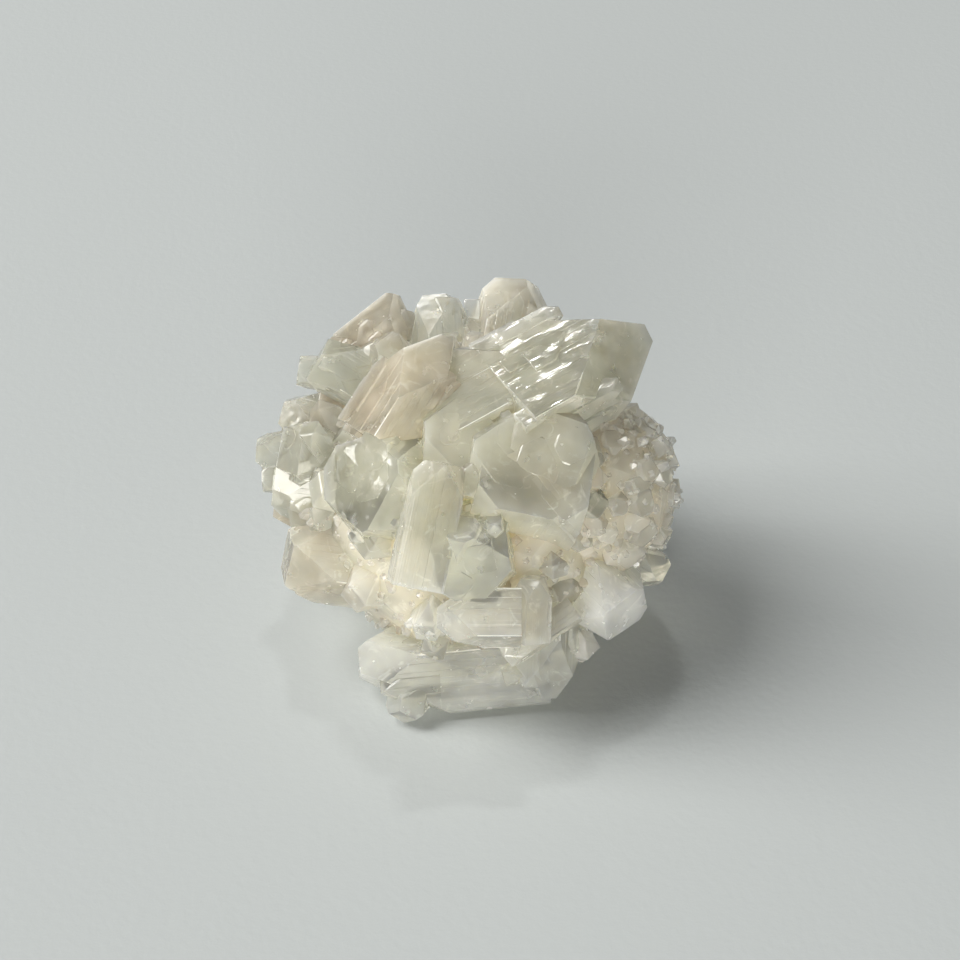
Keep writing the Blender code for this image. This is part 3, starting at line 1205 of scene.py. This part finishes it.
        # Painted shade: the crystals darken towards the top and the left, where the light falls strongest, on
        # top of a dark tone of their own that varies at random.
        shade = across.sibling("Z").ramp(*self.top) * 0.9 + (across * -1.0).ramp(*self.left) * 1.25
        smoke_and_shade_mask = shade + (nodes.noise(place, 110.0, 2.0) - 0.5) * 1.1 + warmth * 0.05 - 0.28
        smoke_and_shade_colour = nodes.mix(warm.ramp(0.3, 0.8), Tint.SMOKE.value, Tint.TAUPE_AND_SHADE.value)
        colour = nodes.mix(warm, Tint.SAGE.value, Tint.PEACH.value)
        colour = nodes.mix(wisps * 0.5, colour, Tint.CLOUD_AND_PAINTED_LIGHT.value)
        colour = nodes.mix(smoke_and_shade_mask.clamped(), colour, smoke_and_shade_colour)
        # White where the warmth is below 0: partly the crystal's pale tone, partly painted light that
        # brightens crystals lying in shade.
        colour = nodes.mix((warmth * -1.0).clamped(), colour, Tint.CLOUD_AND_PAINTED_LIGHT.value)
        return nodes.mix(wear_and_rim_highlight, colour, Tint.CHIPPED_AND_RIM_HIGHLIGHT.value)

    def relief(self, nodes: Nodes, place: Value, grain: Value, streaks: Value, striped: Value) -> Value:
        """Raise the fine stripes: ridges in patches on prism faces, and a slight swell on the others.

        Args:
            nodes: the material's tree.
            place: the place in the object.
            grain: the place in the grain's own coordinates.
            streaks: fine streaks along the grain.
            striped: how striped the face is.

        Returns:
            The normal.
        """
        swell = nodes.noise(place, 480.0, 1.0, 0.55)
        groove_place = self.drawn_out(nodes, grain, self.groove)
        coarse = nodes.noise(groove_place, 1.0, 0.0, 0.5)
        patches = nodes.noise(groove_place, 0.8, 2.0, 0.7).ramp(0.51, 0.61)
        across = nodes.add("ShaderNodeSeparateXYZ", {}, {0: grain})
        comb = (across * self.comb + streaks * 0.6).math("PINGPONG", 0.5)
        grooves = (comb * patches * 0.18 + streaks * 0.05 + coarse * 0.12) * striped
        height = grooves + swell * (0.55 - striped * 0.40)
        sockets = {"Strength": 1.0, "Distance": self.stripe_height, "Height": height}
        return nodes.add("ShaderNodeBump", {}, sockets)


@dataclass(frozen=True)
class PaperFinish:
    """The pale matt sheet under the specimen.

    Attributes:
        grit: how fine its tooth is, in bumps to the metre.
        tooth: how high that stands, in metres.
        roughness: how matt it is.
    """

    grit: float = 700.0
    tooth: float = 0.0002
    roughness: float = 0.85

    def make(self, name: str) -> bpy.types.Material:
        """Mix the sheet's surface.

        Args:
            name: what to call the material.

        Returns:
            The finished material.
        """
        nodes = Nodes.of_material(name)
        place = nodes.add("ShaderNodeTexCoord", {}, {}, output="Object")
        tooth = nodes.noise(place, self.grit, 3.0)
        bump = nodes.add("ShaderNodeBump", {}, {"Strength": 0.25, "Distance": self.tooth, "Height": tooth})
        looks = {"Base Color": Tint.PAPER.value, "Roughness": self.roughness, "Normal": bump}
        return nodes.output(nodes.add("ShaderNodeBsdfPrincipled", {}, looks))


# ---------------------------------------------------------------- the specimen


@dataclass
class Druse:
    """Tiny crystals sown over the swelling and into the gaps between the large ones.

    Attributes:
        spacing: the least distance between two of them, in metres.
        density: how many there are to the square metre where they stand thickest.
        size: the least and greatest size, as a share of the seed crystal's.
        tilt: how far they stray from standing straight up, in radians.
        seed: fixes where they stand.
        width: the seed crystal's width, in metres.
        tip: how high it stands, in metres.
        root: how deep it reaches, in metres.
        cap: from its long axis to each pyramid face at the tip, in metres.
        looks: its clarity, warmth, how striped it is and how thickly others stand on it.
    """

    spacing: float = 0.0015
    density: float = 260000.0
    size: Pair = (0.35, 1.15)
    tilt: float = 0.6
    seed: int = 3
    width: float = 0.0011
    tip: float = 0.0010
    root: float = 0.0008
    cap: float = 0.00028
    looks: Four = (0.45, 0.9, 0.1, 0.0)

    def seed_crystal(self, collection: bpy.types.Collection) -> bpy.types.Object:
        """Make one tiny crystal, which stands on the origin and points up.

        Args:
            collection: where it goes.

        Returns:
            Its object.
        """
        shape = bmesh.new()
        blank = Matrix.Diagonal((self.width, self.width, (self.tip + self.root) * 2.0, 1.0))
        bmesh.ops.create_cube(shape, size=1.0, matrix=blank)
        up, slope = Vector((0.0, 0.0, 1.0)), math.radians(PYRAMID_SLOPE)
        for turn in range(4):
            corner = Matrix.Rotation(math.radians(45.0 + 90.0 * turn), 3, "Z") @ Vector((1.0, 0.0, 0.0))
            trim(shape, up * self.tip + corner * self.cap, corner * math.cos(slope) + up * math.sin(slope))
        trim(shape, up * self.tip, up)
        trim(shape, up * -self.root, -up)
        bmesh.ops.recalc_face_normals(shape, faces=shape.faces[:])
        uv, growth = grain_layers(shape)
        for face in shape.faces:
            for loop in face.loops:
                loop[uv].uv = (loop.vert.co.x, loop.vert.co.z)
                loop[growth] = self.looks
        return new_object("seed_crystal", shape, collection)

    def tree(self) -> bpy.types.GeometryNodeTree:
        """Lay the nodes that sow the seed crystal over a surface.

        Returns:
            Their tree, with an input for each size.
        """
        tree = bpy.data.node_groups.new("druse", "GeometryNodeTree")
        inputs = {
            "Surface": "Geometry",
            "Seed Crystal": "Object",
            "Spacing": "Float",
            "Density": "Float",
            "Least Size": "Float",
            "Greatest Size": "Float",
            "Tilt": "Float",
            "Seed": "Int",
            "Material": "Material",
        }
        for name, kind in inputs.items():
            tree.interface.new_socket(name=name, in_out="INPUT", socket_type=f"NodeSocket{kind}")
        tree.interface.new_socket(name="Crystals", in_out="OUTPUT", socket_type="NodeSocketGeometry")
        nodes = Nodes(tree)
        given = {name: nodes.group_input(name) for name in inputs}
        colours = {"data_type": "FLOAT_COLOR"}
        growth = nodes.add("GeometryNodeInputNamedAttribute", colours, {"Name": "growth"})
        sown = nodes.add("FunctionNodeSeparateColor", {}, {"Color": growth}, output=3)
        sowing = {
            "Mesh": given["Surface"],
            "Distance Min": given["Spacing"],
            "Density Max": given["Density"],
            "Density Factor": sown,
            "Seed": given["Seed"],
        }
        points = nodes.add("GeometryNodeDistributePointsOnFaces", {"distribute_method": "POISSON"}, sowing)
        upright = points.sibling("Rotation")
        reach = nodes.add("ShaderNodeCombineXYZ", {}, {0: given["Tilt"], 1: given["Tilt"], 2: math.pi})
        back = nodes.add("ShaderNodeVectorMath", {"operation": "SCALE"}, {0: reach, "Scale": -1.0})
        range_of_turns = {0: back, 1: reach, "Seed": given["Seed"]}
        sway = nodes.add("FunctionNodeRandomValue", {"data_type": "FLOAT_VECTOR"}, range_of_turns)
        turns = {"Rotation": upright, "Rotate By": sway}
        turned = nodes.add("FunctionNodeRotateRotation", {"rotation_space": "LOCAL"}, turns)
        range_of_sizes = {2: given["Least Size"], 3: given["Greatest Size"], "Seed": given["Seed"] + 1.0}
        size = nodes.add("FunctionNodeRandomValue", {"data_type": "FLOAT"}, range_of_sizes, output=1)
        seed = {"Object": given["Seed Crystal"]}
        crystal = nodes.add("GeometryNodeObjectInfo", {}, seed, output="Geometry")
        standing = nodes.add(
            "GeometryNodeInstanceOnPoints",
            {},
            {"Points": points, "Instance": crystal, "Rotation": turned, "Scale": size},
        )
        real = nodes.add("GeometryNodeRealizeInstances", {}, {"Geometry": standing})
        dressed = nodes.add("GeometryNodeSetMaterial", {}, {"Geometry": real, "Material": given["Material"]})
        end = tree.nodes.new("NodeGroupOutput")
        tree.links.new(dressed.socket, end.inputs["Crystals"])
        return tree

    def sow(self, skin: bpy.types.Object, material: bpy.types.Material, pile: bpy.types.Collection) -> int:
        """Sow the tiny crystals that stand on a skin.

        Args:
            skin: what they stand on.
            material: their finish.
            pile: where they go.

        Returns:
            How many faces they have.
        """
        holder = placed("druse_holder", skin.data, in_view())
        seed = self.seed_crystal(in_view())
        tree = self.tree()
        sowing = holder.modifiers.new("sow", "NODES")
        sowing.node_group = tree
        values = {
            "Seed Crystal": seed,
            "Spacing": self.spacing,
            "Density": self.density,
            "Least Size": self.size[0],
            "Greatest Size": self.size[1],
            "Tilt": self.tilt,
            "Seed": self.seed,
            "Material": material,
        }
        for item in tree.interface.items_tree:
            if item.name in values:
                sowing[item.identifier] = values[item.name]
        mesh = baked(holder)
        for spare in (holder, seed):
            bpy.data.objects.remove(spare)
        placed("druse", mesh, pile)
        return len(mesh.polygons)


@dataclass
class Cluster:
    """All the crystals, grown together into one skin that stands for the solid.

    Attributes:
        spray: the nameless crystals.
        maker: cuts them all.
        parallels: the small individuals on the large ones.
        druse: the tiny crystals.
        finish: what they are all made of.
        lobe: the swelling on the right.
        root: the stump towards the rock.
        core: the massive middle.
        sown: how thickly tiny crystals stand on the small nameless ones, up to 1.
        sown_below: how thick those are at most, in millimetres.
        blank: the edge of the cube that a lump is cut from, in metres.
        rock: the edge of the cube that stands for the rock, in metres.
    """

    spray: Spray = field(default_factory=Spray)
    maker: CrystalMaker = field(default_factory=CrystalMaker)
    parallels: ParallelGrowth = field(default_factory=ParallelGrowth)
    druse: Druse = field(default_factory=Druse)
    finish: CrystalFinish = field(default_factory=CrystalFinish)
    lobe: Lump = Lump(LOBE_CENTRE, 12.7, 40, 0.3, 0.8)
    root: Lump = Lump((0.0, -8.2, -9.8), 17.5, 36, 0.2, 0.5)
    core: Lump = Lump(HEART, 23.0, 60, 0.25, 0.5)
    sown: float = 0.7
    sown_below: float = 2.6
    blank: float = 0.12
    rock: float = 0.2

    def lump(self, name: str, lump: Lump, collection: bpy.types.Collection) -> bpy.types.Object:
        """Cut a rough massive lump.

        Args:
            name: what to call it.
            lump: its place and shape.
            collection: where it goes.

        Returns:
            One closed object with its growth marked.
        """
        shape = bmesh.new()
        bmesh.ops.create_cube(shape, size=self.blank, matrix=Matrix.Translation(SHOW.place(lump.centre)))
        for point, normal in lump.planes(self.spray.rng):
            trim(shape, point, normal)
        bmesh.ops.recalc_face_normals(shape, faces=shape.faces[:])
        like = Crystal(lump.centre, 90.0, clarity=lump.clarity, warmth=lump.warmth)
        self.maker.grain(shape, like, 1.0)
        return new_object(name, shape, collection)

    @staticmethod
    def union(base: bpy.types.Object, pile: bpy.types.Collection) -> bpy.types.Object:
        """Join a base and everything in a collection, and use them up.

        Args:
            base: the one that the others are joined to.
            pile: the others.

        Returns:
            The joined object.
        """
        join = base.modifiers.new("join", "BOOLEAN")
        join.operation, join.solver = "UNION", "MANIFOLD"
        join.operand_type, join.collection = "COLLECTION", pile
        joined = placed("joined", baked(base), in_view())
        for spare in [base, *pile.objects]:
            bpy.data.objects.remove(spare)
        return joined

    def joined(self, material: bpy.types.Material) -> bpy.types.Object:
        """Join the crystals and lumps, and cut them off flat at the base.

        Args:
            material: the finish of them all.

        Returns:
            One closed object.
        """
        pile = bpy.data.collections.new("crystals")
        in_view().children.link(pile)
        self.lump("lobe", self.lobe, pile)
        self.lump("root", self.root, pile)
        named = list(CRYSTALS.values())
        large = named + self.spray.crystals()
        small = [part for crystal in large for part in self.parallels.on(crystal)]
        for index, crystal in enumerate(large + small):
            nameless = len(named) <= index < len(large)
            thin = max(four(crystal.half)) < self.sown_below
            shape = self.maker.make(crystal, self.sown if nameless and thin else 0.0)
            if not closed(shape):
                LOG.warning("crystal %d is open and is left out", index)
                shape.free()
                continue
            new_object(f"crystal_{index:03d}", shape, pile)
        core = self.lump("core", self.core, in_view())
        skin = self.union(core, pile)
        LOG.info("druse: %d faces", self.druse.sow(skin, material, pile))
        skin = self.cut_base(self.union(skin, pile))
        bpy.data.collections.remove(pile)
        shape = bmesh.new()
        shape.from_mesh(skin.data)
        bpy.data.objects.remove(skin)
        self.keep_largest(shape)
        for face in shape.faces:
            face.material_index = 0
        return new_object("crystal_cluster", shape, in_view())

    def cut_base(self, skin: bpy.types.Object) -> bpy.types.Object:
        """Cut the cluster off flat at the height of the base, where it broke off its rock.

        Args:
            skin: the cluster, which is used up.

        Returns:
            The cluster above the cut.
        """
        shape = bmesh.new()
        below = Matrix.Translation((0.0, 0.0, -self.rock / 2.0))
        bmesh.ops.create_cube(shape, size=self.rock, matrix=below)
        self.maker.grain(shape, Crystal(HEART, 90.0, clarity=0.0, warmth=0.6))
        rock = new_object("rock", shape, in_view())
        cut = skin.modifiers.new("cut", "BOOLEAN")
        cut.operation, cut.solver, cut.object = "DIFFERENCE", "MANIFOLD", rock
        freed = placed("freed", baked(skin), in_view())
        for spare in (skin, rock):
            bpy.data.objects.remove(spare)
        return freed

    @staticmethod
    def keep_largest(shape: bmesh.types.BMesh) -> None:
        """Drop every closed shell but the one of most corners.

        Args:
            shape: the mesh, which is changed.
        """
        left, shells = set(shape.verts), []
        while left:
            shell, waiting = set(), [left.pop()]
            while waiting:
                vert = waiting.pop()
                shell.add(vert)
                for edge in vert.link_edges:
                    other = edge.other_vert(vert)
                    if other in left:
                        left.discard(other)
                        waiting.append(other)
            shells.append(shell)
        shells.sort(key=len, reverse=True)
        bmesh.ops.delete(shape, geom=[vert for shell in shells[1:] for vert in shell], context="VERTS")

    def build(self) -> bpy.types.Object:
        """Make the skin, dress it, and put it in the place of the solid.

        Returns:
            The finished piece.
        """
        material = self.finish.make("apophyllite_crystal")
        piece = self.joined(material)
        piece.data.materials.clear()
        piece.data.materials.append(material)
        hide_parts(NODE)
        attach(piece, BODY)
        return piece


@dataclass(frozen=True)
class Light:
    """A rectangular soft light that faces the specimen.

    Attributes:
        name: what it is called.
        place: where it hangs, in metres.
        size: its width and height, in metres.
        power: its strength, in watts.
        colour: its red, green and blue.
    """

    name: str
    place: Place
    size: Pair
    power: float
    colour: Place

    def hang(self) -> None:
        """Hang it in its place, facing the specimen's heart."""
        lamp = bpy.data.lights.new(self.name, "AREA")
        lamp.shape, lamp.size, lamp.size_y = "RECTANGLE", *self.size
        lamp.energy, lamp.color = self.power, self.colour
        holder = placed(self.name, lamp, in_view())
        holder.location = self.place
        holder.rotation_euler = (SHOW.place(HEART) - Vector(self.place)).to_track_quat("-Z", "Y").to_euler()


@dataclass(frozen=True)
class Studio:
    """The pale floor, the soft light and the camera.

    Attributes:
        distance: from the camera to the specimen's heart, in metres.
        lens: focal length on that film, in millimetres.
        film: the width of the film, in millimetres.
        nearest: the least distance that the camera sees, in metres.
        aim: the middle of the view on the show face, in millimetres.
        reach: from the middle of the floor to its edges, in metres.
        drop: how far the floor lies under the base, in metres.
        lights: the soft lights.
        air: the colour of the light from all round.
        air_strength: how strong that is.
    """

    distance: float = 0.3
    lens: float = 76.5
    film: float = 36.0
    nearest: float = 0.01
    aim: Place = (1.18, 2.94, 0.0)
    reach: float = 6.0
    drop: float = 0.00005
    lights: tuple[Light, ...] = (
        Light("window_light", (-2.30, 0.22, 2.25), (1.4, 3.0), 151.0, (1.0, 0.985, 0.95)),
        Light("lamp_light", (-0.05, 0.86, 2.05), (0.18, 0.10), 5.5, (1.0, 1.0, 0.98)),
        Light("front_light", (-0.4, -3.0, 0.62), (1.8, 1.2), 74.0, (1.0, 0.985, 0.95)),
    )
    air: Four = (0.93, 0.96, 1.0, 1.0)
    air_strength: float = 0.08

    def floor(self) -> None:
        """Lay a wide sheet just under the base."""
        shape = bmesh.new()
        bmesh.ops.create_grid(shape, x_segments=1, y_segments=1, size=self.reach)
        bmesh.ops.translate(shape, verts=shape.verts[:], vec=(0.0, 0.0, -self.drop))
        piece = new_object("floor", shape, in_view())
        piece.data.materials.append(PaperFinish().make("floor_paper"))

    def camera(self) -> None:
        """Set up a long lens that looks squarely at the show face."""
        lens = bpy.data.cameras.new("camera")
        lens.sensor_width, lens.lens, lens.clip_start = self.film, self.lens, self.nearest
        holder = placed("camera", lens, in_view())
        axes = SHOW.axes()
        pose = axes.to_4x4()
        pose.translation = SHOW.place(self.aim) + axes.col[2] * self.distance
        holder.matrix_world = pose
        bpy.context.scene.camera = holder

    def build(self) -> None:
        """Set up the camera, the floor and the light."""
        self.camera()
        self.floor()
        for light in self.lights:
            light.hang()
        world = bpy.data.worlds.new("studio_air")
        world.use_nodes = True
        background = world.node_tree.nodes["Background"]
        background.inputs["Color"].default_value = self.air
        background.inputs["Strength"].default_value = self.air_strength
        bpy.context.scene.world = world
        bpy.context.scene.view_settings.view_transform = "Standard"


def main() -> None:
    """Build the specimen and its studio, and log how many faces the cluster has."""
    logging.basicConfig(level=logging.INFO, format="%(message)s")
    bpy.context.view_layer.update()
    Studio().build()
    cluster = Cluster().build()
    LOG.info("%s: %d faces", cluster.name, len(cluster.data.polygons))


if __name__ == "__main__":
    main()
